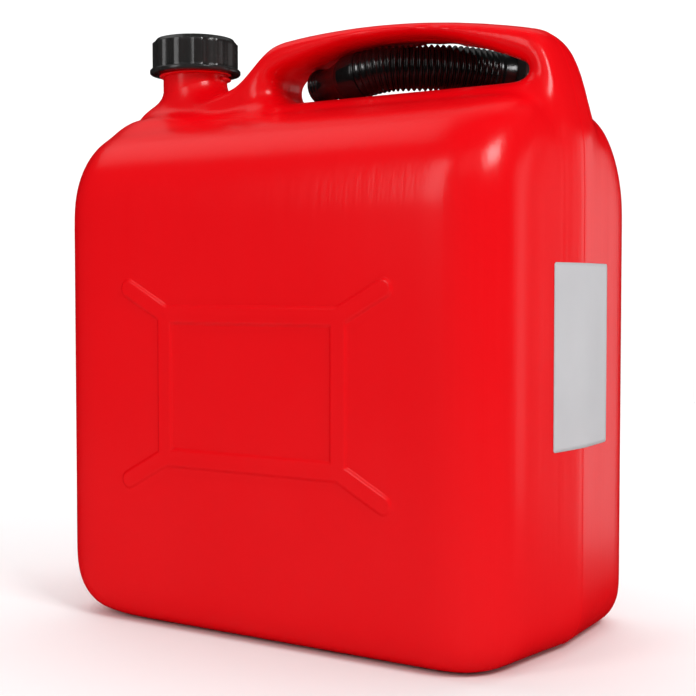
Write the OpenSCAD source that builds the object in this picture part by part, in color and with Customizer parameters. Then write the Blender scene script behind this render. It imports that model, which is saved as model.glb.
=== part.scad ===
// Fuel can of blow-moulded plastic with a carrying handle, a screw cap and a flexible pouring spout
// stowed in the handle. X runs along the front, Y to the back, Z up. The can stands on z = 0.

/* [Can body] */
// Length over the parting line at the two ends
can_length = 350; // [330:1:370]
// Depth from the front wall to the back wall
can_depth = 201; // [186:1:214]
// Radius of the upright corners seen from above
corner_radius = 40; // [32:1:45]
// Radius of the bottom corner under the neck, seen from the front
foot_left = 56; // [45:1:65]
// Radius of the bottom corner at the other end
foot_right = 27; // [24:1:36]
// Radius of the bottom edge all round
bottom_radius = 18; // [14:1:24]
// Draft of each half of an end face towards the parting line, in degrees
end_draft = 5; // [3:0.1:6]
// Radius of the shoulder between wall and roof
shoulder_radius = 60; // [54:1:66]
// Slope of the roof on both sides of the ridge, in degrees
roof_slope = 22; // [18:1:24]
// Length over which the roof falls to the left end
hip_length = 55; // [45:1:58]
// Wall thickness of the moulding
wall = 3; // [2:0.5:4]

/* [Handle] */
// Height of the top of the grip above the sill
handle_rise = 45.8; // [44:0.1:50]
// Width of the handle from front to back
handle_width = 50; // [46:1:54]
// Height of the sill under the handle opening
sill_height = 341.2; // [339:0.1:343]
// Height of the opening at its middle
opening_height = 35.3; // [35.2:0.1:37]
// Left end of the opening
opening_left = -44; // [-48:1:-40]
// Right end of the opening
opening_right = 146; // [142:1:150]
// Radius that rolls the edges of the opening to the front and to the back
opening_edge = 14; // [10:0.5:16]

/* [Neck and cap] */
// Distance of the neck axis from the end of the can
neck_inset = 49; // [45:0.5:53]
// Outer diameter of the neck
neck_diameter = 45; // [43:0.5:47]
// Height of the lip of the neck above the sill
neck_rise = 48.3; // [45:0.1:52]
// Wall of the neck
neck_wall = 3.5; // [3:0.5:4.5]
// Height of the thread ridge on the neck
thread_height = 3; // [2:0.1:3.4]
// Outer diameter of the cap and of the spout nut over their flutes
cap_diameter = 60.5; // [58:0.5:63]
// Height of the cap
cap_height = 25; // [23.5:0.5:28]
// Thickness of the cap's top
cap_top = 3.2; // [2.5:0.1:4]
// Number of flutes round the cap and the nut
flutes = 12; // [8:1:16]
// Thickness of the two sealing rings
gasket_thickness = 1.8; // [1.2:0.1:2.5]

/* [Spout] */
// Outer diameter of the ribbed hose
hose_diameter = 29.8; // [28:0.1:30]
// Bore of the hose
hose_bore = 24; // [20:0.5:24.5]
// Depth of the grooves between the ribs
rib_depth = 1.7; // [1:0.1:2]
// Distance from rib to rib
rib_pitch = 3.65; // [3.4:0.05:3.8]
// Number of ribs
ribs = 27; // [25:1:28]
// Outer diameter of the smooth tip
tip_diameter = 21; // [19:0.5:21.5]
// Length of the tip in front of its cone
tip_length = 17; // [13:0.5:18]
// Length of the nut
nut_height = 20; // [17:0.5:22]

/* [Label] */
// Width of the blank label
label_width = 75; // [60:1:90]
// Height of the blank label
label_height = 110; // [90:1:130]

/* [Hidden] */

can_red = "#d4141a";
part_black = "#1a1a1c";
rubber_black = "#0d0d0e";
label_grey = "#d9d9da";

// Clearances: screwed pieces on their threads, the nut on its collar, a piece that lies on another
thread_gap = 0.35;
running_gap = 0.3;
seat_gap = 0.3;
sticker_gap = 0.05;

// The roof meets the sides of the handle a little below the sill
roof_drop = 3.2;
roof_height = sill_height - roof_drop;
handle_top = sill_height + handle_rise;
neck_top = sill_height + neck_rise;
neck_offset = can_length / 2 - neck_inset;

// The upright wall ends where the shoulder, tangent to wall and roof, begins
wall_height = roof_height - shoulder_radius * cos(roof_slope)
    - (can_depth / 2 - handle_width / 2 - shoulder_radius * (1 - sin(roof_slope))) * tan(roof_slope);

function smooth(t) = let (u = max(0, min(1, t))) u * u * (3 - 2 * u);
function mix(a, b, t) = a + (b - a) * t;
function arc(n, a0, a1) = [for (i = [0 : n]) mix(a0, a1, i / n)];

// Plan of the can. Every size takes an inset, so that the same functions draw the outside and,
// one wall further in, the inside.
seam_land = 1.5;
function drafted(y) = max(0, abs(y) - seam_land) * tan(end_draft);
function half_length(g) = can_length / 2 - g;
function half_depth(g) = can_depth / 2 - g;
function corner(g) = corner_radius - g;
corner_y = can_depth / 2 - corner_radius;
function corner_x(g) = half_length(g) - drafted(corner_y) - corner(g) / cos(end_draft);
function half_width(x, g) =
    let (u = abs(x) - corner_x(g))
    u <= 0 ? half_depth(g)
    : u <= corner(g) * cos(end_draft) ? corner_y + sqrt(corner(g) * corner(g) - u * u)
    : seam_land + max(0, half_length(g) - abs(x)) / tan(end_draft);

// Distance along X, measured as if the end faces had no draft
function along(x, y) = abs(x) + drafted(y);

// Height of the bottom: one radius rolls round the whole edge, and a larger one lifts each end
function edge_reach(x, y, g, r) =
    abs(x) > corner_x(g) && abs(y) > corner_y
    ? norm([abs(x) - corner_x(g), abs(y) - corner_y]) - corner(g) + r
    : max(along(x, y) - half_length(g), abs(y) - half_depth(g)) + r;
function rolled(u, r) = let (v = max(0, min(u, r))) r - sqrt(r * r - v * v);
function bottom_z(x, y, g) =
    let (r = bottom_radius - g, lift = (x < 0 ? foot_left : foot_right) - g)
    g + rolled(edge_reach(x, y, g, r), r)
    + rolled(along(x, y) - half_length(g) + lift, lift) * (1 - r / lift);

// The roof keeps its full rise in the middle and falls to both ends in a quarter ellipse
end_length = 31;
end_rise = 0.1;
hip_power = 6;
end_power = 4;
function roof_share(x, y, g) =
    let (
        reach = x < 0 ? hip_length : end_length,
        least = x < 0 ? 0 : end_rise,
        power = x < 0 ? hip_power : end_power,
        s = max(0, min(1, (along(x, y) - half_length(g) + reach) / reach))
    )
    mix(least, 1, pow(1 - pow(s, power), 1 / power));
function roof_z(x, y, z, g) = wall_height + (z - wall_height) * roof_share(x, y, g);

// Outline of ridge and handle on the parting plane, from the left end to the right
ridge_rise = 17;
saddle_height = sill_height + 14;
grip_peak = 24;
grip_drop = 11;
grip_span = 110;
rise_start = -neck_offset + neck_diameter / 2 + 19;
rise_end = opening_left + 6;
grip_end_length = 27;
grip_end_drop = 105;
function grip_line(x) = handle_top - grip_drop * pow((x - grip_peak) / grip_span, 2);
function grip_end(x, y, g) =
    let (s = max(0, min(1, (along(x, y) - half_length(g) + grip_end_length) / grip_end_length)))
    x < 0 ? 0 : grip_end_drop * (1 - sqrt(1 - s * s));
function handle_outline(x, y, g) =
    mix(saddle_height, grip_line(x), smooth((x - rise_start) / (rise_end - rise_start)))
    - grip_end(x, y, g) - g;
function top_line(x, y, ridge, g) =
    x < rise_start - 30 ? ridge
    : max(ridge, mix(ridge, handle_outline(x, y, g), smooth((x - rise_start + 30) / 30)));

// The roof is steeper round the neck than beside the handle
fin_fillet = 20;
neck_slope = 36;
function slope_at(x) = mix(neck_slope, roof_slope, smooth((x - rise_start + 40) / 40));

// Half of the section across X, from the middle of the floor to the top of the handle.
// Narrow sections at the ends take smaller radii.
grip_round = 8;
function half_section(x, g, n) =
    let (
        b = half_width(x, g),
        edge = min(bottom_radius - g, 0.7 * b),
        shoulder = min(shoulder_radius - g, 0.59 * b),
        side = min(handle_width / 2 - g, 0.55 * b),
        fillet = min(fin_fillet + g, 0.62 * b - side),
        turn = 90 - roof_slope,
        eave_y = b - shoulder + shoulder * cos(turn),
        eave_z = wall_height + (shoulder_radius - g) * sin(turn),
        foot_y = side + fillet,
        foot_z = roof_z(x, foot_y, eave_z + (eave_y - foot_y) * tan(slope_at(x)), g),
        top = top_line(x, 0, foot_z + ridge_rise * roof_share(x, 0, g), g),
        rise = max(top - foot_z, 0.5),
        cove = min(fillet, 0.45 * rise),
        crown = min(grip_round - g / 2, 0.45 * rise)
    )
    concat(
        [[0, bottom_z(x, 0, g)]],
        [for (a = arc(n, -90, 0)) let (y = b - edge + edge * cos(a)) [y, bottom_z(x, y, g)]],
        [[b, wall_height]],
        [for (a = arc(n + 1, turn / (n + 2), turn))
            let (y = b - shoulder + shoulder * cos(a))
            [y, roof_z(x, y, wall_height + (shoulder_radius - g) * sin(a), g)]],
        [for (a = arc(n, 0, 90)) [foot_y - fillet * sin(a), foot_z + cove * (1 - cos(a))]],
        [for (a = arc(n, 0, 90)) [side * cos(a), top - crown + crown * sin(a)]]
    );

function mirrored(half) =
    concat(half, [for (i = [len(half) - 2 : -1 : 1]) [-half[i][0], half[i][1]]]);
function section(x, g, n) = [for (p = mirrored(half_section(x, g, n))) [x, -p[0], p[1]]];

// Places of the sections: close together round the corners, the rise of the handle and its end
function corner_places(g, n) =
    [for (a = arc(n, 90 - end_draft, 0)) corner_x(g) + corner(g) * sin(a)];
function face_places(g, n) =
    let (start = corner_x(g) + corner(g) * cos(end_draft))
    [for (i = [0 : n - 1]) mix(half_length(g), start, i / n)];
function places(g, n) =
    let (
        ends = concat(face_places(g, n), corner_places(g, 2 * n - 1)),
        first = -corner_x(g),
        last = corner_x(g)
    )
    concat(
        [for (x = ends) -x],
        [for (i = [1 : 2]) mix(first, rise_start, i / 2)],
        [for (i = [1 : 2 * n]) mix(rise_start, rise_end, i / (2 * n))],
        [for (i = [1 : n + 3]) mix(rise_end, last, i / (n + 4))],
        [for (i = [len(ends) - 1 : -1 : 0]) ends[i]]
    );

// Solid through a list of rings of equally many points, closed by a fan round the middle of each end
function middle(ring) = [for (p = ring) 1] * ring / len(ring);
module loft(rings) {
    m = len(rings[0]);
    n = len(rings);
    last = (n - 1) * m;
    polyhedron(
        points = concat([for (r = rings) each r], [middle(rings[0]), middle(rings[n - 1])]),
        faces = concat(
            [for (j = [0 : m - 1]) [n * m, (j + 1) % m, j]],
            [for (i = [0 : n - 2]) for (j = [0 : m - 1])
                let (a = i * m + j, b = i * m + (j + 1) % m)
                each [[a, b, b + m], [a, b + m, a + m]]],
            [for (j = [0 : m - 1]) [n * m + 1, last + j, last + (j + 1) % m]]
        )
    );
}

module moulded(g, n) {
    loft([for (x = places(g, n)) section(x, g, n)]);
}

// Outline of the handle opening on the parting plane: a level sill and an arched soffit,
// grown by out at the ends, by up at the soffit and by low at the sill
soffit_peak = 50;
left_curve = 0.00205;
right_curve = 0.003;
left_end_radius = (opening_height - left_curve * pow(soffit_peak - opening_left - 12, 2)) / 2;
right_end_radius = (opening_height - right_curve * pow(opening_right - soffit_peak - 8, 2)) / 2;
function soffit(x) =
    sill_height + opening_height - (x < soffit_peak ? left_curve : right_curve) * pow(x - soffit_peak, 2);
function opening_outline(out, up, low, n) =
    let (
        left = opening_left + left_end_radius,
        right = opening_right - right_end_radius,
        end = function(x, r, a)
            [x + (r + out) * cos(a), sill_height + r + (r + (sin(a) < 0 ? low : up)) * sin(a)]
    )
    concat(
        [for (a = arc(n, -90, 80)) end(right, right_end_radius, a)],
        [for (i = [1 : n - 1]) let (x = mix(right, left, i / n)) [x, soffit(x) + up]],
        [for (a = arc(n, 100, 270)) end(left, left_end_radius, a)]
    );

// The sill rolls over to the front and to the back, and runs out just above the roof
sill_round = 40;
sill_lift = 0.4;
sill_edge = handle_width / 2 - (roof_drop - sill_lift) / tan(roof_slope);
sill_flat = sill_edge - sill_round * tan(roof_slope / 2);
function sill_drop(y) =
    let (u = max(0, abs(y) - sill_flat))
    u <= sill_round * sin(roof_slope)
    ? sill_round - sqrt(sill_round * sill_round - u * u)
    : (abs(y) - sill_edge) * tan(roof_slope);

// The opening flares to the front and to the back, so that the grip is round.
// The soffit rolls softly at the front and with a smaller radius at the back.
soffit_share = 0.42;
soffit_edge = 6;
opening_reach = handle_width / 2 + fin_fillet;
function roll(y, r) =
    let (start = handle_width / 2 - r, u = min(max(0, abs(y) - start), 0.97 * r))
    r - sqrt(r * r - u * u) + max(0, abs(y) - start - 0.97 * r);
module handle_opening(g) {
    n = 8;
    soft = handle_width / 2 - opening_edge;
    firm = handle_width / 2 - soffit_edge;
    front = [for (a = arc(5, 76, 0)) -soft - opening_edge * sin(a)];
    back = concat(
        [for (i = [0 : 1]) mix(soft, firm, i / 2)],
        [for (a = arc(4, 0, 76)) firm + soffit_edge * sin(a)]
    );
    loft([for (y = concat([-opening_reach], front, back, [opening_reach]))
        let (out = roll(y, opening_edge), up = y < 0 ? soffit_share * out : roll(y, soffit_edge))
        [for (p = opening_outline(g + out, g + up, g + sill_drop(y), n)) [p[0], y, p[1]]]]);
}

// Neck with a foot that follows the roof
neck_radius = neck_diameter / 2;
flare_left = 4;
flare_right = 14;
neck_root = roof_height - 30;
foot_steps = 36;
function roof_at(x, y) = lookup(abs(y), [for (p = half_section(x, 0, 5)) if (p[1] > wall_height) p]);
function foot_ring(out, up) =
    [for (i = [0 : foot_steps - 1])
        let (
            a = -i * 360 / foot_steps,
            flare = mix(flare_left, flare_right, (1 + cos(a)) / 2),
            r = neck_radius + flare * out,
            x = r * cos(a) - neck_offset,
            y = r * sin(a)
        )
        [x, y, roof_at(x, y) + flare * up]];
module neck() {
    loft(concat(
        [foot_ring(1, -0.3)],
        [for (a = arc(5, 6, 84)) foot_ring(1 - sin(a), 1 - cos(a) - 0.02)],
        [foot_ring(-0.1, 1)]
    ));
    translate([-neck_offset, 0, neck_root]) cylinder(r = neck_radius, h = neck_top - neck_root, $fn = 96);
}

// Shallow raised frame with four arms, as pressed into both walls
panel_width = 146;
panel_height = 103.5;
panel_middle = 156.3;
panel_band = 13;
panel_arm = 35;
panel_slope = 28;
panel_rise = 1.2;
panel_root = 0.6;
module panel_outline() {
    x = panel_width / 2 - panel_band / 2;
    z = panel_height / 2 - panel_band / 2;
    difference() {
        square([panel_width, panel_height], center = true);
        square([panel_width - 2 * panel_band, panel_height - 2 * panel_band], center = true);
    }
    for (sx = [-1, 1]) for (sz = [-1, 1])
        translate([sx * x, sz * z]) rotate(sx * sz * panel_slope) {
            translate([sx * panel_arm / 2, 0]) square([panel_arm, panel_band], center = true);
            translate([sx * panel_arm, 0]) circle(d = panel_band, $fn = 48);
        }
}
module panel() {
    translate([0, -can_depth / 2 + panel_root, panel_middle]) rotate([90, 0, 0])
        linear_extrude(panel_root + panel_rise) panel_outline();
}

// Groove of the pinch-off under the can
groove_width = 10;
groove_depth = 2;

module can_body() {
    color(can_red) difference() {
        union() {
            moulded(0, 5);
            neck();
            panel();
            mirror([0, 1, 0]) panel();
        }
        difference() {
            moulded(wall, 3);
            handle_opening(wall);
        }
        handle_opening(0);
        translate([-neck_offset, 0, neck_root])
            cylinder(r = neck_radius - neck_wall, h = neck_top, $fn = 96);
        translate([-can_length / 2, -groove_width / 2, -groove_depth])
            cube([can_length, groove_width, 2 * groove_depth]);
    }
}

// Fluted side of the cap and of the nut
module fluted(d, h) {
    flute = 3.2;
    difference() {
        cylinder(d = d, h = h, $fn = 96);
        for (i = [0 : flutes - 1]) rotate(i * 360 / flutes)
            translate([d / 2 + flute * 0.55, 0, -1]) cylinder(r = flute, h = h + 2, $fn = 32);
    }
}

thread_diameter = neck_diameter + 2 * thread_height;
screw_bore = thread_diameter + 2 * thread_gap;
cap_rim = 3.5;
rim_step = 1.8;
cap_chamfer = 3;
cap_z = neck_top + gasket_thickness + cap_top - cap_height;
module screw_cap() {
    color(part_black) translate([-neck_offset, 0, cap_z]) difference() {
        union() {
            cylinder(d = cap_diameter + 2 * rim_step, h = cap_rim, $fn = 96);
            translate([0, 0, cap_rim]) fluted(cap_diameter, cap_height - cap_rim - cap_chamfer);
            translate([0, 0, cap_height - cap_chamfer]) cylinder(
                d1 = cap_diameter - 2, d2 = cap_diameter - 2 * cap_chamfer, h = cap_chamfer, $fn = 96
            );
        }
        translate([0, 0, -1]) cylinder(d = screw_bore, h = cap_height - cap_top + 1, $fn = 96);
    }
}

module cap_gasket() {
    color(rubber_black) translate([-neck_offset, 0, neck_top]) difference() {
        cylinder(d = screw_bore - 2 * running_gap, h = gasket_thickness, $fn = 96);
        translate([0, 0, -1])
            cylinder(d = neck_diameter - 4 * neck_wall, h = gasket_thickness + 2, $fn = 96);
    }
}

// Route of the spout: the tip lies in the opening, the hose bends to the back beside the right leg,
// and the base with its nut lies behind that leg on the back of the roof.
hose_radius = hose_diameter / 2;
bore_radius = hose_bore / 2;
spout_start = [5.3, 2.8];
start_heading = -12;
bend_radius = 50;
bend_heading = 24;
run_radius = 124;
bend_length = bend_radius * (bend_heading - start_heading) * PI / 180;
hose_length = ribs * rib_pitch;
function heading(s) =
    s <= bend_length ? start_heading + s / bend_radius * 180 / PI
    : bend_heading + (s - bend_length) / run_radius * 180 / PI;
function left_of(h) = [-sin(h), cos(h)];
function on_arc(from, r, h0, h1) = from + r * (left_of(h0) - left_of(h1));
bend_end = on_arc(spout_start, bend_radius, start_heading, bend_heading);
function route(s) =
    s <= bend_length ? on_arc(spout_start, bend_radius, start_heading, heading(s))
    : on_arc(bend_end, run_radius, bend_heading, heading(s));
// Tip: a cone down from the hose, a smooth tube and a rounded lip
tip_cone = 13;
tip_wall = 2;
tip_lip = 1.4;
lip_length = 3;
joint_overlap = 1;
joint_step = 0.4;
joint_turn = 7;
// Base: a cone up to the collar, and a flange that the nut draws against the neck
nut_web = 3;
web_gap = 0.4;
base_sleeve = 3;
base_cone = 9;
collar_radius = hose_radius + 1.5;
flange_thickness = 2.5;
flange_radius = neck_radius - 1;
collar_length = nut_web + 2 * web_gap;
base_length = base_cone + collar_length + flange_thickness;
nut_start = base_cone + web_gap;

// The hose and the lip of the tip lie on the sill
tip_z = sill_height + seat_gap + hose_radius;
tip_droop = asin((hose_radius - tip_diameter / 2 - tip_lip) / (tip_cone + tip_length));

// The nut lies on the back of the roof: its near edge touches first
nut_radius = cap_diameter / 2 - 1;
rise_length = 36;
fall_start = 55;
fall = 2.8;
fall_length = hose_length - fall_start;
base_droop = atan(2 * fall / fall_length);
base_heading = heading(hose_length);
base_start = route(hose_length);
nut_y = base_start[1] + nut_start * sin(base_heading) * cos(base_droop);
nut_lean = sin(base_heading) * cos(base_droop) * sin(roof_slope) - sin(base_droop) * cos(roof_slope);
nut_reach = nut_radius * sqrt(1 - nut_lean * nut_lean);
base_z = roof_height - (nut_y - handle_width / 2) * tan(roof_slope)
    + (nut_reach + seat_gap) / cos(roof_slope) + nut_start * sin(base_droop);
hose_height = base_z + fall - tip_z;

// Height of the route and its pitch
function route_z(s) =
    let (t = min(1, s / rise_length), u = max(0, s - fall_start) / fall_length)
    tip_z + hose_height * smooth(t) + rise_length * tan(tip_droop) * t * pow(1 - t, 2) - fall * u * u;
function pitch(s) =
    let (t = min(1, s / rise_length), u = max(0, s - fall_start) / fall_length)
    atan(hose_height * 6 * t * (1 - t) / rise_length + tan(tip_droop) * (1 - t) * (1 - 3 * t)
        - 2 * fall * u / fall_length);
function hose_ring(s, r, sides) =
    let (p = route(s), h = heading(s), side = left_of(h), up = pitch(s))
    [for (i = [0 : sides - 1])
        let (a = i * 360 / sides, across = r * cos(a), back = r * sin(a) * sin(up))
        [p[0] + across * side[0] - back * cos(h), p[1] + across * side[1] - back * sin(h),
            route_z(s) + r * sin(a) * cos(up)]];

// One unbroken tube: the ribs outside, the smooth bore inside
hose_sides = 20;
bore_steps = 14;
module ribbed_hose() {
    outer = [for (i = [0 : 2 * ribs])
        hose_ring(i * rib_pitch / 2, i % 2 == 1 ? hose_radius : hose_radius - rib_depth, hose_sides)];
    inner = [for (i = [bore_steps : -1 : 0])
        hose_ring(i * hose_length / bore_steps, bore_radius, hose_sides)];
    rings = concat(outer, inner);
    n = len(rings);
    m = hose_sides;
    polyhedron(
        points = [for (r = rings) each r],
        faces = [for (i = [0 : n - 1]) for (j = [0 : m - 1])
            let (
                a = i * m + j,
                b = i * m + (j + 1) % m,
                c = ((i + 1) % n) * m + (j + 1) % m,
                d = ((i + 1) % n) * m + j
            )
            each [[a, c, b], [a, d, c]]]
    );
}

// The tip and the base grip the wall of the hose's ends
hose_root = hose_radius - rib_depth;
grip_in = bore_radius + 0.3;
grip_out = hose_root - 0.4;
module tip_profile() {
    r = tip_diameter / 2;
    end = tip_cone + tip_length;
    polygon([
        [grip_in, -joint_overlap], [grip_out, -joint_overlap], [grip_out, joint_step],
        [hose_root, 2 * joint_step], [r, tip_cone],
        [r, end - lip_length], [r + tip_lip, end - lip_length + 0.6], [r + tip_lip, end - 0.6],
        [r + tip_lip - 0.6, end], [r - tip_wall, end], [r - tip_wall, tip_cone], [grip_in, joint_step]
    ]);
}

module base_profile() {
    polygon([
        [grip_in, -joint_overlap], [grip_out, -joint_overlap], [grip_out, joint_step],
        [hose_root, 2 * joint_step], [hose_root, base_sleeve], [collar_radius, base_cone],
        [collar_radius, base_cone + collar_length], [flange_radius, base_cone + collar_length],
        [flange_radius, base_length], [grip_in, base_length]
    ]);
}
module at_tip() {
    translate([spout_start[0], spout_start[1], tip_z])
        rotate([0, 90 + tip_droop, start_heading + 180]) children();
}
module at_base() {
    translate([base_start[0], base_start[1], base_z])
        rotate([0, 90 + base_droop, base_heading]) children();
}

module spout_hose() {
    color(part_black) {
        ribbed_hose();
        at_tip() rotate(joint_turn) rotate_extrude($fn = 64) tip_profile();
        at_base() rotate(joint_turn) rotate_extrude($fn = 64) base_profile();
    }
}

module spout_nut() {
    color(part_black) at_base() translate([0, 0, nut_start]) difference() {
        fluted(2 * nut_radius, nut_height);
        translate([0, 0, -1]) cylinder(r = collar_radius + running_gap, h = nut_web + 2, $fn = 96);
        translate([0, 0, nut_web]) cylinder(d = screw_bore, h = nut_height, $fn = 96);
    }
}

module spout_gasket() {
    color(rubber_black) at_base() translate([0, 0, base_length]) difference() {
        cylinder(r = flange_radius, h = gasket_thickness, $fn = 96);
        translate([0, 0, -1]) cylinder(r = neck_radius - neck_wall - 1, h = gasket_thickness + 2, $fn = 96);
    }
}

// Blank label, creased over the parting line of the right end
label_shift = 2;
label_z = 123;
label_thickness = 0.3;
module label() {
    front = label_shift - label_width / 2;
    back = label_shift + label_width / 2;
    function face(y) = can_length / 2 + sticker_gap - drafted(y);
    edges = [front, -seam_land, seam_land, back];
    color(label_grey) translate([0, 0, label_z]) linear_extrude(label_height) polygon(concat(
        [for (y = edges) [face(y), y]],
        [for (i = [3 : -1 : 0]) [face(edges[i]) + label_thickness, edges[i]]]
    ));
}

can_body();
screw_cap();
cap_gasket();
spout_hose();
spout_nut();
spout_gasket();
label();
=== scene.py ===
import math

import bmesh
import bpy
from mathutils import Matrix, Vector
from mathutils.bvhtree import BVHTree


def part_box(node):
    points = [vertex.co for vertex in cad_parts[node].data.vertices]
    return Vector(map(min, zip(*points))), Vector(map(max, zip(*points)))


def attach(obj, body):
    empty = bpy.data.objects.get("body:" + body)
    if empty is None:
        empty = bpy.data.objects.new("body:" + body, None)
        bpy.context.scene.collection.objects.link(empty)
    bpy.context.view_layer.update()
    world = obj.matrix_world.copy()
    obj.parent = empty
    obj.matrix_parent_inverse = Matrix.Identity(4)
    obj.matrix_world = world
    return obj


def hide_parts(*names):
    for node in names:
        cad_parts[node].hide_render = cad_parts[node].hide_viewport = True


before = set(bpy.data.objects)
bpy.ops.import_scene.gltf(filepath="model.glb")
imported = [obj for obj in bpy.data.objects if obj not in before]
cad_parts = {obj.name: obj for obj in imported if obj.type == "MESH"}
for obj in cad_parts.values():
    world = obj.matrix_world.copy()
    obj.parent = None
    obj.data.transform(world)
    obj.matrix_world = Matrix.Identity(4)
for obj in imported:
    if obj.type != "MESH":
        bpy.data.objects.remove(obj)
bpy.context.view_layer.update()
scene = bpy.context.scene
MM = 0.001


# Camera at the photograph's viewing angle

CAMERA_PLACE = Vector((0.513, -0.74875, 0.217))
CAMERA_AIM = Vector((-0.5607, 0.8269, -0.0425))
CAMERA_LENS = 70.5
CAMERA_SENSOR = 36

camera = bpy.data.objects.new("camera", bpy.data.cameras.new("camera"))
camera.data.sensor_width = CAMERA_SENSOR
camera.data.lens = CAMERA_LENS
camera.location = CAMERA_PLACE
camera.rotation_euler = CAMERA_AIM.to_track_quat("-Z", "Y").to_euler()
scene.collection.objects.link(camera)
scene.camera = camera
scene.view_settings.view_transform = "Standard"


# Studio: floor, backdrop and room are pale and kept out of the gloss, which shows the soft boxes alone

PALE = (0.93, 0.93, 0.93, 1)
STAGE_ROUGHNESS = 0.9
FLOOR_SIDE = 9
BACKDROP_WIDTH = 2.4
BACKDROP_HEIGHT = 2.0
BACKDROP_DISTANCE = 1.7
BACKDROP_MIDDLE = 0.99
ROOM_COLOUR = (0.93, 0.94, 0.95, 1)
ROOM_STRENGTH = 0.42
BACK = Vector((CAMERA_AIM.x, CAMERA_AIM.y, 0)).normalized()
FACING = Matrix.Rotation(math.atan2(-BACK.x, BACK.y), 4, "Z")
UPRIGHT = Matrix.Rotation(math.pi / 2, 4, "X")


def stage_plane(name, width, depth, place, turn):
    bm = bmesh.new()
    bmesh.ops.create_grid(bm, x_segments=1, y_segments=1, size=0.5)
    bmesh.ops.scale(bm, vec=(width, depth, 1), verts=bm.verts)
    bmesh.ops.transform(bm, matrix=Matrix.Translation(place) @ turn, verts=bm.verts)
    mesh = bpy.data.meshes.new(name)
    bm.to_mesh(mesh)
    bm.free()
    paper = bpy.data.materials.new(name)
    paper.use_nodes = True
    shader = paper.node_tree.nodes["Principled BSDF"]
    shader.inputs["Base Color"].default_value = PALE
    shader.inputs["Roughness"].default_value = STAGE_ROUGHNESS
    shader.inputs["Specular IOR Level"].default_value = 0.0
    mesh.materials.append(paper)
    plane = bpy.data.objects.new(name, mesh)
    plane.visible_glossy = False
    scene.collection.objects.link(plane)


def soft_box(name, place, aim, width, height, radiance, in_gloss):
    """Rectangular lamp whose face has the given radiance."""
    lamp = bpy.data.lights.new(name, "AREA")
    lamp.shape = "RECTANGLE"
    lamp.size = width
    lamp.size_y = height
    lamp.energy = radiance * math.pi * width * height
    box = bpy.data.objects.new(name, lamp)
    box.location = place
    box.rotation_euler = (Vector(aim) - Vector(place)).to_track_quat("-Z", "Y").to_euler()
    box.visible_camera = False
    box.visible_glossy = in_gloss
    scene.collection.objects.link(box)


def behind(distance, height):
    """Point behind the can as the camera sees it."""
    return BACK * distance + Vector((0, 0, height))


# Soft boxes: name, place, aim, width, height and radiance

CAN_MIDDLE = (0, 0, 0.2)
END_MIDDLE = (0.17, 0, 0.2)
GLOSS_BOXES = [
    ("front_strip", (-0.45, -1.45, 0.95), CAN_MIDDLE, 0.5, 1.0, 3.4),
    ("overhead_left", (-1.05, -0.04, 1.45), (-1.05, -0.04, 0), 1.1, 0.78, 0.65),
    ("overhead_back", (-0.80, 0.97, 1.45), (-0.80, 0.97, 0), 1.8, 1.25, 0.24),
    ("front_panel", (0.8, -1.39, 1.5), CAN_MIDDLE, 1.2, 0.8, 0.45),
    ("right_panel", (1.44, 0.80, 0.3), CAN_MIDDLE, 0.6, 0.9, 1.0),
    ("right_key", (1.28, -0.50, 1.25), CAN_MIDDLE, 0.60, 0.44, 16.0),
    ("rear_panel", (0.71, 1.40, 0.18), END_MIDDLE, 0.58, 0.80, 1.0),
]
FILL_BOXES = [
    ("end_fill", (2.0, 0.6, 0.8), CAN_MIDDLE, 1.2, 1.2, 0.1),
    ("fill", (0.0, -2.1, 1.0), CAN_MIDDLE, 2.2, 1.6, 0.25),
    ("backdrop_light", behind(0.5, 1.9), behind(BACKDROP_DISTANCE, 0.3), 3.0, 0.8, 3.2),
]

stage_plane("floor", FLOOR_SIDE, FLOOR_SIDE, (0, 0, 0), Matrix())
stage_plane("backdrop", BACKDROP_WIDTH, BACKDROP_HEIGHT, behind(BACKDROP_DISTANCE, BACKDROP_MIDDLE),
            FACING @ UPRIGHT)
for box in GLOSS_BOXES:
    soft_box(*box, in_gloss=True)
for box in FILL_BOXES:
    soft_box(*box, in_gloss=False)

room = bpy.data.worlds.new("room")
room.use_nodes = True
room.node_tree.nodes["Background"].inputs["Color"].default_value = ROOM_COLOUR
room.node_tree.nodes["Background"].inputs["Strength"].default_value = ROOM_STRENGTH
room.cycles_visibility.glossy = False
scene.world = room


# Finishes, with the numbers of the sockets of a Mix node for colours

MIX_FACTOR, MIX_FIRST, MIX_SECOND, MIX_RESULT = 0, 6, 7, 2


class Shade:
    """A shader socket that takes part in sums and products like a number."""

    def __init__(self, tree, socket):
        self.tree = tree
        self.socket = socket

    def sum_node(self, operation, first, second):
        node = self.tree.nodes.new("ShaderNodeMath")
        node.operation = operation
        for socket, value in zip(node.inputs, (first, second)):
            if isinstance(value, Shade):
                self.tree.links.new(value.socket, socket)
            else:
                socket.default_value = value
        return Shade(self.tree, node.outputs[0])

    def __add__(self, other):
        return self.sum_node("ADD", self, other)

    def __mul__(self, other):
        return self.sum_node("MULTIPLY", self, other)

    __radd__ = __add__
    __rmul__ = __mul__


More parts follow.
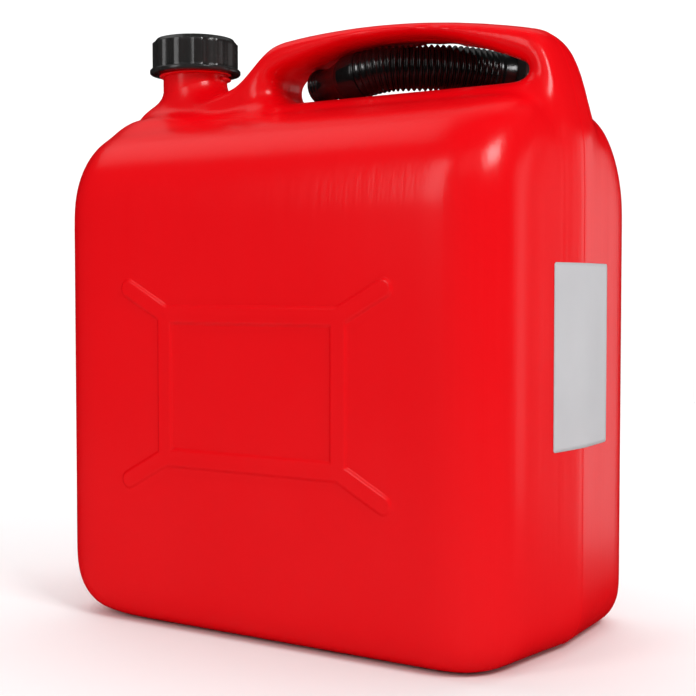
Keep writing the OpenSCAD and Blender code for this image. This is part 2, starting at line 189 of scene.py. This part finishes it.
class Finish:
    """A material with one plastic shader, and the nodes that vary it over the surface."""

    def __init__(self, name, specular):
        self.material = bpy.data.materials.new(name)
        self.material.use_nodes = True
        self.tree = self.material.node_tree
        self.shader = self.tree.nodes["Principled BSDF"]
        self.shader.inputs["Specular IOR Level"].default_value = specular
        self.where = self.node("ShaderNodeTexCoord", output="Object")

    def node(self, kind, settings=None, inputs=None, output=0):
        node = self.tree.nodes.new(kind)
        for key, value in (settings or {}).items():
            setattr(node, key, value)
        for key, value in (inputs or {}).items():
            if isinstance(value, Shade):
                self.tree.links.new(value.socket, node.inputs[key])
            else:
                node.inputs[key].default_value = value
        return Shade(self.tree, node.outputs[output])

    def noise(self, scale, stretch=(1, 1, 1), detail=2.0):
        place = self.node("ShaderNodeMapping", inputs={"Vector": self.where, "Scale": stretch})
        return self.node("ShaderNodeTexNoise", inputs={"Vector": place, "Scale": scale, "Detail": detail})

    def feed(self, socket, value):
        self.tree.links.new(value.socket, self.shader.inputs[socket])

    def tint(self, mask, first, second):
        """Base colour that goes from the first to the second with the mask."""
        colours = {MIX_FACTOR: mask, MIX_FIRST: (*first, 1), MIX_SECOND: (*second, 1)}
        self.feed("Base Color", self.node("ShaderNodeMix", {"data_type": "RGBA"}, colours, MIX_RESULT))

    def relief(self, height, depth):
        """Bump of the given height pattern, its depth in millimetres."""
        self.feed("Normal", self.node("ShaderNodeBump", inputs={"Height": height, "Distance": depth * MM}))


def can_plastic():
    """Red moulding with flow streaks down its walls, orange peel and slow waves."""
    finish = Finish("moulded_red", specular=0.28)
    cloud = finish.noise(9, detail=3)
    streak = finish.noise(1, stretch=(330, 330, 5), detail=3)
    orange_peel = finish.noise(420)
    wave = finish.noise(16)
    finish.tint(cloud, (0.76, 0.0006, 0.0035), (0.81, 0.001, 0.0045))
    finish.feed("Roughness", 0.18 + 0.06 * streak + 0.05 * cloud)
    finish.relief(1.6 * streak + 0.15 * orange_peel + 3 * wave, depth=0.08)
    return finish.material


def cap_plastic():
    """Black moulding with a fine grain and upright scuffs."""
    finish = Finish("cap_black", specular=0.5)
    grain = finish.noise(900)
    scuff = finish.noise(60, stretch=(1, 1, 0.35), detail=4)
    finish.tint(scuff, (0.012, 0.012, 0.012), (0.026, 0.026, 0.025))
    finish.feed("Roughness", 0.12 + 0.16 * scuff + 0.04 * grain)
    finish.relief(grain + 0.8 * scuff, depth=0.06)
    return finish.material


def spout_plastic():
    """Deep black hose plastic, cloudy with a fine grain."""
    finish = Finish("spout_black", specular=0.42)
    cloud = finish.noise(45, detail=3)
    grain = finish.noise(700)
    finish.tint(cloud, (0.003, 0.003, 0.003), (0.006, 0.006, 0.006))
    finish.feed("Roughness", 0.12 + 0.12 * cloud + 0.04 * grain)
    finish.relief(grain + cloud, depth=0.04)
    return finish.material


def seal_rubber():
    """Dull rubber with dust on it."""
    finish = Finish("seal_rubber", specular=0.3)
    dust = finish.noise(260, detail=3)
    finish.tint(dust, (0.010, 0.010, 0.010), (0.026, 0.025, 0.024))
    finish.feed("Roughness", 0.65 + 0.2 * dust)
    finish.relief(dust, depth=0.06)
    return finish.material


def label_paper():
    """Pale coated paper with fibres and a soft cloud."""
    finish = Finish("label_paper", specular=0.4)
    fibre = finish.noise(1400)
    cloud = finish.noise(30, detail=3)
    finish.tint(cloud, (0.49, 0.485, 0.50), (0.55, 0.545, 0.56))
    finish.feed("Roughness", 0.42 + 0.16 * fibre)
    finish.relief(fibre + 0.8 * cloud, depth=0.04)
    return finish.material


RED = can_plastic()
CAP_BLACK = cap_plastic()
SPOUT_BLACK = spout_plastic()
RUBBER = seal_rubber()
PAPER = label_paper()


# Making of pieces

SHARP_ANGLE = math.radians(28)


def finish_piece(bm, name, finish, body, stands_for=None):
    mesh = bpy.data.meshes.new(name)
    bm.to_mesh(mesh)
    bm.free()
    mesh.materials.clear()
    mesh.materials.append(finish)
    mesh.shade_smooth()
    piece = bpy.data.objects.new(name, mesh)
    scene.collection.objects.link(piece)
    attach(piece, body)
    if stands_for:
        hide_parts(stands_for)
    return piece


def turned(profile, steps):
    """Profile of (radius, height) pairs, in millimetres, turned round Z."""
    bm = bmesh.new()
    points = [bm.verts.new((r * MM, 0, z * MM)) for r, z in profile]
    edges = [bm.edges.new(pair) for pair in zip(points, points[1:])]
    bmesh.ops.spin(bm, geom=points + edges, cent=(0, 0, 0), axis=(0, 0, 1), angle=math.tau, steps=steps,
                   use_merge=True)
    bmesh.ops.remove_doubles(bm, verts=bm.verts, dist=1e-7)
    bmesh.ops.recalc_face_normals(bm, faces=bm.faces)
    return bm


def soften(bm, radius):
    """Rounds every sharp edge."""
    sharp = [e for e in bm.edges if len(e.link_faces) == 2 and e.calc_face_angle(0) > SHARP_ANGLE]
    bmesh.ops.bevel(bm, geom=sharp, offset=radius * MM, offset_type="OFFSET", affect="EDGES", segments=2,
                    profile=0.5, material=-1, clamp_overlap=True)


def smooth(bm, verts, turns):
    for turn in range(turns):
        bmesh.ops.smooth_vert(bm, verts=verts, factor=0.5,
                              use_axis_x=True, use_axis_y=True, use_axis_z=True)


def move_to(bm, matrix):
    bmesh.ops.transform(bm, matrix=matrix, verts=bm.verts)


def verts_of(geom):
    return [g for g in geom if isinstance(g, bmesh.types.BMVert)]


def edges_of(geom):
    return [g for g in geom if isinstance(g, bmesh.types.BMEdge)]


def whole(bm):
    return bm.verts[:] + bm.edges[:] + bm.faces[:]


def shift(x, y, z):
    """Move by millimetres."""
    return Matrix.Translation((x * MM, y * MM, z * MM))


FLUTES = 12
FLUTE_RADIUS = 14.0
FLUTE_DEPTH = 1.4
FLUTE_REACH = 1.5
FLUTE_SLACK = 0.1


def cut_flutes(bm, radius, low, high):
    """Presses the flutes into the side wall of a turned piece, between two heights."""
    pitch = math.tau / FLUTES
    middle = radius + (FLUTE_RADIUS - FLUTE_DEPTH)
    for v in bm.verts:
        r = math.hypot(v.co.x, v.co.y) / MM
        on_wall = radius - FLUTE_REACH <= r <= radius + FLUTE_SLACK
        if not on_wall or not low <= v.co.z / MM <= high:
            continue
        angle = math.atan2(v.co.y, v.co.x)
        off = angle - pitch * round(angle / pitch)
        side = middle * math.sin(off)
        if abs(side) >= FLUTE_RADIUS:
            continue
        cut = middle * math.cos(off) - math.sqrt(FLUTE_RADIUS ** 2 - side ** 2)
        if cut < r:
            v.co.x *= cut / r
            v.co.y *= cut / r


# Can body: the CAD body's outer skin, drawn smooth

NECK_X = -126.0
NECK_RADIUS = 22.5
NECK_BORE = 19.0
NECK_TOP = 389.5
NECK_CUT = 366.0
NECK_MARGIN = 2.0
BORE_MARGIN = 0.3
BORE_LOW = 300.0
WALL_Y = 100.5
SKIN_VOXEL = 2.4
WHOLE_SMOOTHINGS = 5
LOOSE_SMOOTHINGS = 17
CORNER_SMOOTHINGS = 1
SOFFIT_EDGE = ((-35, 8, 350), (140, 30, 384))
SOFFIT_PEAK = 50.0
SOFFIT_TOP = 376.5
SOFFIT_LEFT_CURVE = 0.00205
SOFFIT_RIGHT_CURVE = 0.003
SOFFIT_ROLL = 6.0
SOFFIT_MARGIN = 1.0
SOFFIT_FADE = 20.0
SOFFIT_LIP = 1.5
SOFFIT_LIP_START = 60.0
HANDLE_HALF = 25.0


def neck_distance(point):
    return math.hypot(point.x - NECK_X * MM, point.y)


def on_soffit_edge(point):
    """Whether a point is on the back edge of the handle's underside, which stays crisp."""
    lowest, highest = SOFFIT_EDGE
    return all(low * MM < here < high * MM for low, here, high in zip(lowest, point, highest))


def soffit(x):
    """Height of the handle's underside."""
    curve = SOFFIT_LEFT_CURVE if x < SOFFIT_PEAK else SOFFIT_RIGHT_CURVE
    return SOFFIT_TOP - curve * (x - SOFFIT_PEAK) ** 2


def sharpen_soffit(skin):
    """Draws the rolled back edge of the handle's underside out to a corner, with a lip over the spout."""
    start, end = SOFFIT_EDGE[0][0], SOFFIT_EDGE[1][0]
    for v in skin.verts:
        x = v.co.x / MM
        out = v.co.y / MM - HANDLE_HALF + SOFFIT_ROLL
        down = soffit(x) + SOFFIT_ROLL - v.co.z / MM
        if start < x < end and min(out, down) > 0 and max(out, down) < SOFFIT_ROLL + SOFFIT_MARGIN:
            share = min(1, (x - start) / SOFFIT_FADE, (end - x) / SOFFIT_FADE)
            grow = share * (math.hypot(out, down) / max(out, down) - 1) * MM
            v.co.y += out * grow
            v.co.z -= down * grow
            lip = share * max(0, min(1, (x - SOFFIT_LIP_START) / SOFFIT_FADE))
            v.co.z -= SOFFIT_LIP * MM * lip * min(1, out / SOFFIT_ROLL)


def in_bore(face):
    middle = face.calc_center_median()
    return neck_distance(middle) < (NECK_BORE + BORE_MARGIN) * MM and middle.z > BORE_LOW * MM


def outer_skin():
    """The CAD body without its inside, closed at the neck."""
    bm = bmesh.new()
    bm.from_mesh(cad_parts["can_body"].data)
    bmesh.ops.remove_doubles(bm, verts=bm.verts, dist=1e-6)
    bmesh.ops.delete(bm, geom=[f for f in bm.faces if in_bore(f)], context="FACES")
    start = min(bm.faces, key=lambda f: f.calc_center_median().z)
    outside = {start}
    edge_of_fill = [start]
    while edge_of_fill:
        face = edge_of_fill.pop()
        for edge in face.edges:
            for other in edge.link_faces:
                if other not in outside:
                    outside.add(other)
                    edge_of_fill.append(other)
    bmesh.ops.delete(bm, geom=[f for f in bm.faces if f not in outside], context="FACES")
    bmesh.ops.delete(bm, geom=[v for v in bm.verts if not v.link_faces], context="VERTS")
    bmesh.ops.holes_fill(bm, edges=[e for e in bm.edges if e.is_boundary], sides=0)
    return bm


def remeshed(bm):
    """The same closed skin on an even grid."""
    rough = bpy.data.objects.new("rough_skin", bpy.data.meshes.new("rough_skin"))
    bm.to_mesh(rough.data)
    bm.free()
    scene.collection.objects.link(rough)
    remesh = rough.modifiers.new("remesh", "REMESH")
    remesh.mode = "VOXEL"
    remesh.voxel_size = SKIN_VOXEL * MM
    ready = bpy.data.meshes.new_from_object(rough.evaluated_get(bpy.context.evaluated_depsgraph_get()))
    skin = bmesh.new()
    skin.from_mesh(ready)
    bpy.data.objects.remove(rough)
    bpy.data.meshes.remove(ready)
    return skin


def smoothed_skin():
    """Outer skin, smoothed least along the back edge of the handle's underside."""
    skin = remeshed(outer_skin())
    loose = [v for v in skin.verts if not on_soffit_edge(v.co)]
    smooth(skin, skin.verts, WHOLE_SMOOTHINGS)
    smooth(skin, loose, LOOSE_SMOOTHINGS)
    fine = [e for e in skin.edges if all(on_soffit_edge(v.co) for v in e.verts)]
    bmesh.ops.subdivide_edges(skin, edges=fine, cuts=1, use_grid_fill=True)
    sharpen_soffit(skin)
    smooth(skin, [v for v in skin.verts if on_soffit_edge(v.co)], CORNER_SMOOTHINGS)
    for v in skin.verts:
        v.co.y = max(-WALL_Y * MM, min(WALL_Y * MM, v.co.y))
    near = (NECK_RADIUS + NECK_MARGIN) * MM
    neck_verts = [v for v in skin.verts if neck_distance(v.co) < near and v.co.z > NECK_CUT * MM]
    bmesh.ops.delete(skin, geom=neck_verts, context="VERTS")
    return skin


can_shell = finish_piece(smoothed_skin(), "can_shell", RED, "can", "can_body")


# Neck with its thread

NECK_FOOT = 330.0
NECK_SKIN = NECK_RADIUS + 0.15
THREAD_RADIUS = 25.4
THREAD_HALF = 1.5
THREAD_SUNK = 0.3
THREAD_PITCH = 4.0
THREAD_TURNS = 3.6
THREAD_START = 366.0
STEPS_A_TURN = 72
THREAD_STEPS = int(STEPS_A_TURN * THREAD_TURNS)


def neck():
    bm = turned([
        (NECK_BORE, NECK_FOOT), (NECK_BORE, NECK_TOP), (NECK_RADIUS - 0.6, NECK_TOP),
        (NECK_SKIN, NECK_TOP - 1), (NECK_SKIN, NECK_FOOT), (NECK_BORE, NECK_FOOT)
    ], steps=96)
    soften(bm, radius=0.6)
    move_to(bm, shift(NECK_X, 0, 0))
    return bm


def thread():
    """A ridge wound round the neck."""
    bm = bmesh.new()
    root = NECK_RADIUS - THREAD_SUNK
    corners = [(root, -THREAD_HALF), (THREAD_RADIUS - 0.4, -0.7), (THREAD_RADIUS, -0.3),
               (THREAD_RADIUS, 0.3), (THREAD_RADIUS - 0.4, 0.7), (root, THREAD_HALF)]
    ring = [bm.verts.new((r * MM, 0, z * MM)) for r, z in corners]
    edges = [bm.edges.new(pair) for pair in zip(ring, ring[1:] + ring[:1])]
    climb = THREAD_PITCH * THREAD_TURNS * MM / THREAD_STEPS
    bmesh.ops.spin(bm, geom=ring + edges, cent=(0, 0, 0), axis=(0, 0, 1), dvec=(0, 0, climb),
                   angle=math.tau * THREAD_TURNS, steps=THREAD_STEPS)
    bmesh.ops.holes_fill(bm, edges=[e for e in bm.edges if e.is_boundary], sides=0)
    bmesh.ops.recalc_face_normals(bm, faces=bm.faces)
    move_to(bm, shift(NECK_X, 0, THREAD_START))
    return bm


finish_piece(neck(), "neck", RED, "can")
finish_piece(thread(), "neck_thread", RED, "can")


# Raised frame with four arms, on the front wall and the back wall

PANEL_SHEET = (220, 140)
PANEL_CELLS = (344, 220)
PANEL_MIDDLE = 156.3
PANEL_HALF = (66.5, 45.25)
PANEL_ARM = 35.0
PANEL_SLOPE = math.radians(28)
BAND_HALF = 6.5
BAND_RISE = 1.2
BAND_EDGE = 2.2
BAND_RUN_IN = 0.5
BAND_SUNK = -0.4
BAND_TRIM = BAND_SUNK * 0.999


def band_distance(x, z):
    """Distance of a point of the wall from the middle of the raised band."""
    half_x, half_z = PANEL_HALF
    ax, az = abs(x), abs(z)
    outside = max(ax - half_x, az - half_z)
    frame_gap = math.hypot(max(ax - half_x, 0), max(az - half_z, 0)) if outside > 0 else -outside
    tip = Vector((math.cos(PANEL_SLOPE), math.sin(PANEL_SLOPE))) * PANEL_ARM
    out = Vector((ax - half_x, az - half_z))
    share = max(0, min(1, out.dot(tip) / tip.length_squared))
    return min(frame_gap, (out - tip * share).length)


def band_height(x, z):
    """Height of the band over the wall: a flat top with narrow edges that run into the wall."""
    climb = (BAND_HALF - band_distance(x, z)) / BAND_EDGE
    if climb <= 0:
        return max(BAND_SUNK, climb * BAND_EDGE * BAND_RUN_IN)
    top = min(1, climb)
    return BAND_RISE * top * top * (3 - 2 * top)


def raised_frame():
    bm = bmesh.new()
    bmesh.ops.create_grid(bm, x_segments=PANEL_CELLS[0], y_segments=PANEL_CELLS[1], size=0.5)
    bmesh.ops.scale(bm, vec=(PANEL_SHEET[0] * MM, PANEL_SHEET[1] * MM, 1), verts=bm.verts)
    for v in bm.verts:
        v.co.z = band_height(v.co.x / MM, v.co.y / MM) * MM
    bmesh.ops.delete(bm, geom=[v for v in bm.verts if v.co.z <= BAND_TRIM * MM], context="VERTS")
    move_to(bm, shift(0, -WALL_Y, PANEL_MIDDLE) @ UPRIGHT)
    bmesh.ops.recalc_face_normals(bm, faces=bm.faces)
    return bm


finish_piece(raised_frame(), "front_frame", RED, "can")
back_bm = raised_frame()
move_to(back_bm, Matrix.Rotation(math.pi, 4, "Z"))
finish_piece(back_bm, "back_frame", RED, "can")


# Parting seam round the can

SEAM_RISE = 0.3
SEAM_HALF = 0.8
SEAM_SUNK = 0.35


def parting_seam():
    """A low ridge where the middle plane cuts the skin."""
    bm = bmesh.new()
    bm.from_mesh(can_shell.data)
    cut = bmesh.ops.bisect_plane(bm, geom=whole(bm), plane_co=(0, 0, 0), plane_no=(0, 1, 0))["geom_cut"]
    bm.normal_update()
    run = set(edges_of(cut))
    outward = {tuple(v.co): v.normal.copy() for e in run for v in e.verts}
    bmesh.ops.delete(bm, geom=[e for e in bm.edges if e not in run], context="EDGES")
    bmesh.ops.delete(bm, geom=[v for v in bm.verts if not v.link_edges], context="VERTS")
    ridge = list(bm.verts)
    line = list(bm.edges)
    for way in (-1, 1):
        for v in verts_of(bmesh.ops.extrude_edge_only(bm, edges=line)["geom"]):
            v.co -= outward[tuple(v.co)] * SEAM_SUNK * MM
            v.co.y += way * SEAM_HALF * MM
    for v in ridge:
        v.co += outward[tuple(v.co)] * SEAM_RISE * MM
    bmesh.ops.recalc_face_normals(bm, faces=bm.faces)
    return bm


finish_piece(parting_seam(), "parting_seam", RED, "can")


# Screw cap

CAP_RADIUS = 30.25
CAP_RIM = 32.05
CAP_RIM_HEIGHT = 3.5
CAP_BORE = 25.85
CAP_CHAMFER = 3.0
CAP_DISC = 22.5
CAP_DISC_SUNK = 0.7
CAP_SEAL = 1.8


def screw_cap():
    low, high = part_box("screw_cap")
    base, top = low.z / MM, high.z / MM
    inner = NECK_TOP + CAP_SEAL
    rim = base + CAP_RIM_HEIGHT
    side = top - CAP_CHAMFER
    disc = top - CAP_DISC_SUNK
    bm = turned([
        (0, inner), (CAP_BORE, inner), (CAP_BORE, base), (CAP_RIM - 0.8, base), (CAP_RIM, base + 0.8),
        (CAP_RIM, rim - 0.7), (CAP_RIM - 0.7, rim), (CAP_RADIUS, rim + 0.1), (CAP_RADIUS, rim + 2),
        (CAP_RADIUS, side - 2), (CAP_RADIUS, side), (CAP_RADIUS - 1.0, side + 0.3),
        (CAP_RADIUS - CAP_CHAMFER, top - 0.2), (CAP_RADIUS - CAP_CHAMFER - 0.6, top),
        (CAP_DISC, top), (CAP_DISC - 0.7, disc), (0, disc)
    ], steps=180)
    cut_flutes(bm, CAP_RADIUS, rim + 0.05, side + 0.4)
    soften(bm, radius=0.3)
    move_to(bm, shift(NECK_X, 0, 0))
    return bm


finish_piece(screw_cap(), "cap", CAP_BLACK, "cap", "screw_cap")


# Spout: smooth tip, ribbed hose and flanged base on the route of the CAD spout

HOSE_RADIUS = 14.9
HOSE_BORE = 12.0
HOSE_SIDES = 48
RIB_DEPTH = 1.7
RIB_PITCH = 3.65
RIB_RINGS = 8
RIB_ROUNDNESS = 1.4
RIBS = 27
HOSE_LENGTH = RIBS * RIB_PITCH
GROOVE = HOSE_RADIUS - RIB_DEPTH
CUFF_LENGTH = 11.0
CUFF_WALL = 0.15
CUFF_RINGS = 8
TIP_RADIUS = 10.5
TIP_LENGTH = 17.0
TIP_CONE = 13.0
TIP_LIP = 1.4
TIP_WALL = 2.0
SPOUT_START = Vector((5.3, 2.8))
START_HEADING = math.radians(-12)
BEND_RADIUS = 50.0
BEND_HEADING = math.radians(24)
BEND_LENGTH = BEND_RADIUS * (BEND_HEADING - START_HEADING)
RUN_RADIUS = 124.0
RISE_LENGTH = 36.0
FALL_START = 55.0
FALL = 2.8
FALL_LENGTH = HOSE_LENGTH - FALL_START
TIP_Z = 356.4
BASE_Z = 358.049
HOSE_HEIGHT = BASE_Z + FALL - TIP_Z
TIP_DROOP = math.asin((HOSE_RADIUS - TIP_RADIUS - TIP_LIP) / (TIP_CONE + TIP_LENGTH))
BASE_DROOP = math.atan(2 * FALL / FALL_LENGTH)


def heading(s):
    if s <= BEND_LENGTH:
        return START_HEADING + s / BEND_RADIUS
    return BEND_HEADING + (s - BEND_LENGTH) / RUN_RADIUS


def on_arc(start, radius, first, last):
    return start + radius * Vector((math.sin(last) - math.sin(first), math.cos(first) - math.cos(last)))


BEND_END = on_arc(SPOUT_START, BEND_RADIUS, START_HEADING, BEND_HEADING)


def hose_place(flat, z, turn, tilt):
    """Place of a ring on the route, with its local Z along the route."""
    return shift(flat.x, flat.y, z) @ Matrix.Rotation(turn, 4, "Z") @ Matrix.Rotation(tilt, 4, "Y")


def hose_frame(s):
    """Place of the hose at a length along it."""
    if s <= BEND_LENGTH:
        flat = on_arc(SPOUT_START, BEND_RADIUS, START_HEADING, heading(s))
    else:
        flat = on_arc(BEND_END, RUN_RADIUS, BEND_HEADING, heading(s))
    t = min(1, max(0, s / RISE_LENGTH))
    u = max(0, s - FALL_START) / FALL_LENGTH
    droop = math.tan(TIP_DROOP)
    z = TIP_Z + HOSE_HEIGHT * t * t * (3 - 2 * t) + RISE_LENGTH * droop * t * (1 - t) ** 2 - FALL * u * u
    pitch = math.atan(HOSE_HEIGHT * 6 * t * (1 - t) / RISE_LENGTH + droop * (1 - t) * (1 - 3 * t)
                      - 2 * FALL * u / FALL_LENGTH)
    return hose_place(flat, z, heading(s), math.pi / 2 - pitch)


def along_hose(stations):
    """Tube on the hose's route, through rings given by length and radius."""
    bm = bmesh.new()
    bmesh.ops.create_circle(bm, cap_ends=False, radius=1, segments=HOSE_SIDES)
    ring = list(bm.verts)
    edges = list(bm.edges)
    before = Matrix()
    for n, (s, r) in enumerate(stations):
        if n:
            grown = bmesh.ops.extrude_edge_only(bm, edges=edges)["geom"]
            ring = verts_of(grown)
            edges = [e for e in edges_of(grown) if all(v in ring for v in e.verts)]
        place = hose_frame(s) @ Matrix.Scale(r * MM, 4)
        back = before.inverted()
        for v in ring:
            v.co = place @ (back @ v.co)
        before = place
    bmesh.ops.recalc_face_normals(bm, faces=bm.faces)
    return bm


def ribbed_hose():
    stations = []
    for i in range(RIBS * RIB_RINGS + 1):
        groove = 0.5 + 0.5 * math.cos(math.tau * i / RIB_RINGS)
        stations.append((i * RIB_PITCH / RIB_RINGS, HOSE_RADIUS - RIB_DEPTH * groove ** RIB_ROUNDNESS))
    return along_hose(stations)


def hose_cuff():
    """Smooth cuff of the tip, over the first ribs."""
    outer = HOSE_RADIUS + CUFF_WALL
    wall = [(i * CUFF_LENGTH / CUFF_RINGS, outer) for i in range(CUFF_RINGS + 1)]
    edge = [(CUFF_LENGTH + 0.5, outer - 0.5), (CUFF_LENGTH + 0.6, outer - 2)]
    return along_hose([(0, HOSE_RADIUS - 1)] + wall + edge)


def at_base():
    end = on_arc(BEND_END, RUN_RADIUS, BEND_HEADING, heading(HOSE_LENGTH))
    return hose_place(end, BASE_Z, heading(HOSE_LENGTH), math.pi / 2 + BASE_DROOP)


def spout_tip():
    """Cone and pipe, with a ring, a step and a lip at the mouth."""
    end = TIP_CONE + TIP_LENGTH
    lip = TIP_RADIUS + TIP_LIP
    bore = TIP_RADIUS - TIP_WALL
    bm = turned([
        (HOSE_BORE, -1.5), (HOSE_RADIUS - 0.25, -1.5), (HOSE_RADIUS - 0.1, 0.6), (GROOVE + 0.9, 2.4),
        (GROOVE - 0.1, 4.2), (TIP_RADIUS + 0.75, TIP_CONE - 1.2), (TIP_RADIUS, TIP_CONE + 0.4),
        (TIP_RADIUS, end - 8.2), (TIP_RADIUS + 0.5, end - 8.0), (TIP_RADIUS + 0.5, end - 7.0),
        (TIP_RADIUS, end - 6.8), (TIP_RADIUS, end - 5.8), (lip - 0.5, end - 5.4), (lip - 0.5, end - 4.4),
        (lip - 1.0, end - 4.1), (lip - 1.0, end - 3.6), (lip, end - 3.2), (lip, end - 1.9),
        (lip - 0.55, end - 1.6), (lip - 0.55, end - 1.1), (lip - 0.1, end - 0.8), (lip - 0.6, end),
        (bore, end), (bore, TIP_CONE), (HOSE_BORE, 0.5), (HOSE_BORE, -1.5)
    ], steps=72)
    soften(bm, radius=0.2)
    move_to(bm, hose_place(SPOUT_START, TIP_Z, START_HEADING + math.pi, math.pi / 2 + TIP_DROOP))
    return bm


COLLAR_RADIUS = HOSE_RADIUS + 1.5
COLLAR_LENGTH = 3.8
FLANGE_RADIUS = 21.5
FLANGE = 2.5
BASE_CONE = 9.0


def spout_base():
    collar_end = BASE_CONE + COLLAR_LENGTH
    end = collar_end + FLANGE
    bm = turned([
        (HOSE_BORE, -1.5), (HOSE_RADIUS - 0.9, -1.5), (HOSE_RADIUS - 0.4, 0.4), (GROOVE + 0.6, 3.0),
        (COLLAR_RADIUS, BASE_CONE), (COLLAR_RADIUS, collar_end), (FLANGE_RADIUS, collar_end),
        (FLANGE_RADIUS, end), (HOSE_BORE, end), (HOSE_BORE, -1.5)
    ], steps=72)
    soften(bm, radius=0.3)
    move_to(bm, at_base())
    return bm


finish_piece(ribbed_hose(), "spout_ribs", SPOUT_BLACK, "spout", "spout_hose")
finish_piece(spout_tip(), "spout_tip", SPOUT_BLACK, "spout")
finish_piece(hose_cuff(), "spout_cuff", SPOUT_BLACK, "spout")
finish_piece(spout_base(), "spout_base", SPOUT_BLACK, "spout")


# Nut on the spout's base

NUT_START = BASE_CONE + 0.4
NUT_RADIUS = 29.25
NUT_HEIGHT = 20.0
NUT_WEB = 3.0
NUT_HOLE = COLLAR_RADIUS + 0.3


def spout_nut():
    bm = turned([
        (NUT_HOLE, 0), (NUT_RADIUS - 1.6, 0), (NUT_RADIUS, 1.2), (NUT_RADIUS, 3),
        (NUT_RADIUS, NUT_HEIGHT - 2), (NUT_RADIUS, NUT_HEIGHT - 0.5), (NUT_RADIUS - 0.5, NUT_HEIGHT),
        (CAP_BORE, NUT_HEIGHT),
        (CAP_BORE, NUT_WEB), (NUT_HOLE, NUT_WEB), (NUT_HOLE, 0)
    ], steps=180)
    cut_flutes(bm, NUT_RADIUS, 1.0, NUT_HEIGHT + 0.1)
    soften(bm, radius=0.3)
    move_to(bm, at_base() @ shift(0, 0, NUT_START))
    return bm


finish_piece(spout_nut(), "nut", CAP_BLACK, "nut", "spout_nut")


# Label, laid on the skin of the right end

LABEL_WIDTH = 75
LABEL_HEIGHT = 110
LABEL_MIDDLE = (2, 178)
LABEL_CORNER = 2.0
LABEL_LIFT = 0.12
LABEL_THICKNESS = 0.22
LABEL_CUT = 2.5
OFF_THE_END = 300.0
INWARD = Vector((-1, 0, 0))


def sticker():
    bm = bmesh.new()
    bmesh.ops.create_grid(bm, x_segments=1, y_segments=1, size=0.5)
    bmesh.ops.scale(bm, vec=(LABEL_WIDTH * MM, LABEL_HEIGHT * MM, 1), verts=bm.verts)
    bmesh.ops.bevel(bm, geom=bm.verts[:], offset=LABEL_CORNER * MM, offset_type="OFFSET", affect="VERTICES",
                    segments=4, profile=0.5, material=-1)
    for axis, length in ((0, LABEL_WIDTH), (1, LABEL_HEIGHT)):
        for i in range(1, int(length / LABEL_CUT)):
            place = Vector((0, 0, 0))
            place[axis] = (i * LABEL_CUT - length / 2) * MM
            across = Vector((0, 0, 0))
            across[axis] = 1
            bmesh.ops.bisect_plane(bm, geom=whole(bm), plane_co=place, plane_no=across)
    skin = bmesh.new()
    skin.from_mesh(can_shell.data)
    tree = BVHTree.FromBMesh(skin)
    for v in bm.verts:
        start = Vector((OFF_THE_END * MM, v.co.x + LABEL_MIDDLE[0] * MM, v.co.y + LABEL_MIDDLE[1] * MM))
        v.co = tree.ray_cast(start, INWARD)[0] + Vector((LABEL_LIFT * MM, 0, 0))
    skin.free()
    bmesh.ops.smooth_vert(bm, verts=bm.verts, factor=0.5, use_axis_x=True)
    face = bmesh.ops.extrude_face_region(bm, geom=bm.faces[:])["geom"]
    bmesh.ops.translate(bm, vec=(LABEL_THICKNESS * MM, 0, 0), verts=verts_of(face))
    bmesh.ops.recalc_face_normals(bm, faces=bm.faces)
    return bm


finish_piece(sticker(), "blank_label", PAPER, "can", "label")


# Seals keep their CAD shape

for seal in ("cap_gasket", "spout_gasket"):
    seal_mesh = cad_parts[seal].data
    seal_mesh.materials.clear()
    seal_mesh.materials.append(RUBBER)
